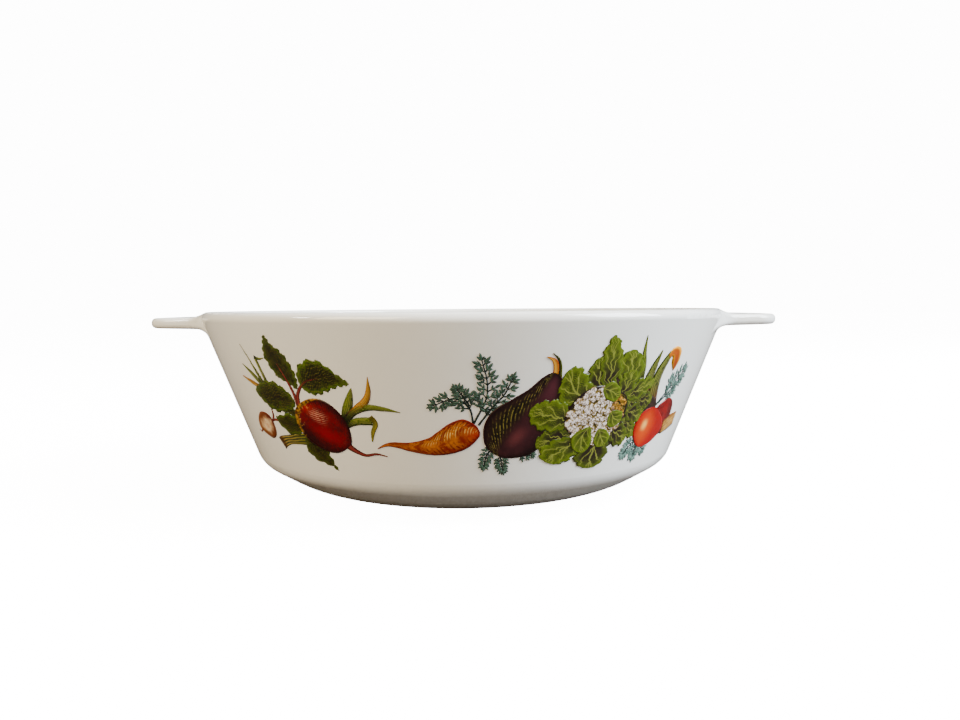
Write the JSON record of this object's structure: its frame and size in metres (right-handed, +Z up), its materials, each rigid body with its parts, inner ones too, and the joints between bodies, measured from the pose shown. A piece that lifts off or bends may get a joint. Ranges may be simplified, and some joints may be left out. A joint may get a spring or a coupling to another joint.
{
  "type": "casserole dish",
  "caption": "Round opal-glass casserole dish with sloping wall, flat tab handles at the rim and a fired-on vegetable print on front and back.",
  "frame": {"origin": "centre of the foot, on the plane that it rests on", "axes": "+Z up; +X through the two tab handles; -Y towards the front print"},
  "size_m": [0.2576, 0.2178, 0.0723],
  "materials": {
    "opal_glass": "glossy pressed opal glass",
    "leaf_enamel": "fired enamel, satin",
    "blush_enamel": "fired enamel, satin",
    "pale_enamel": "fired enamel, satin",
    "crimson_enamel": "fired enamel, satin",
    "blue_green_enamel": "fired enamel, satin",
    "orange_enamel": "fired enamel, satin",
    "plum_enamel": "fired enamel, satin",
    "red_enamel": "fired enamel, satin"
  },
  "bodies": {
    "root": {"back_aubergine": "plum_enamel", "back_aubergine_stalk": "leaf_enamel", "back_beet_leaves": "leaf_enamel", "back_beetroot": "crimson_enamel", "back_carrot": "orange_enamel", "back_carrot_fronds": "blue_green_enamel", "back_cauliflower_head": "pale_enamel", "back_cauliflower_leaves": "leaf_enamel", "back_dill": "blue_green_enamel", "back_herb_shoots": "leaf_enamel", "back_leek": "pale_enamel", "back_onion_shoots": "leaf_enamel", "back_pea_shoots": "leaf_enamel", "back_pepper": "red_enamel", "back_radish": "blush_enamel", "back_tomato": "red_enamel", "dish": "opal_glass", "front_aubergine": "plum_enamel", "front_aubergine_stalk": "leaf_enamel", "front_beet_leaves": "leaf_enamel", "front_beetroot": "crimson_enamel", "front_carrot": "orange_enamel", "front_carrot_fronds": "blue_green_enamel", "front_cauliflower_head": "pale_enamel", "front_cauliflower_leaves": "leaf_enamel", "front_dill": "blue_green_enamel", "front_herb_shoots": "leaf_enamel", "front_leek": "pale_enamel", "front_onion_shoots": "leaf_enamel", "front_pea_shoots": "leaf_enamel", "front_pepper": "red_enamel", "front_radish": "blush_enamel", "front_tomato": "red_enamel"}
  },
  "joints": []
}
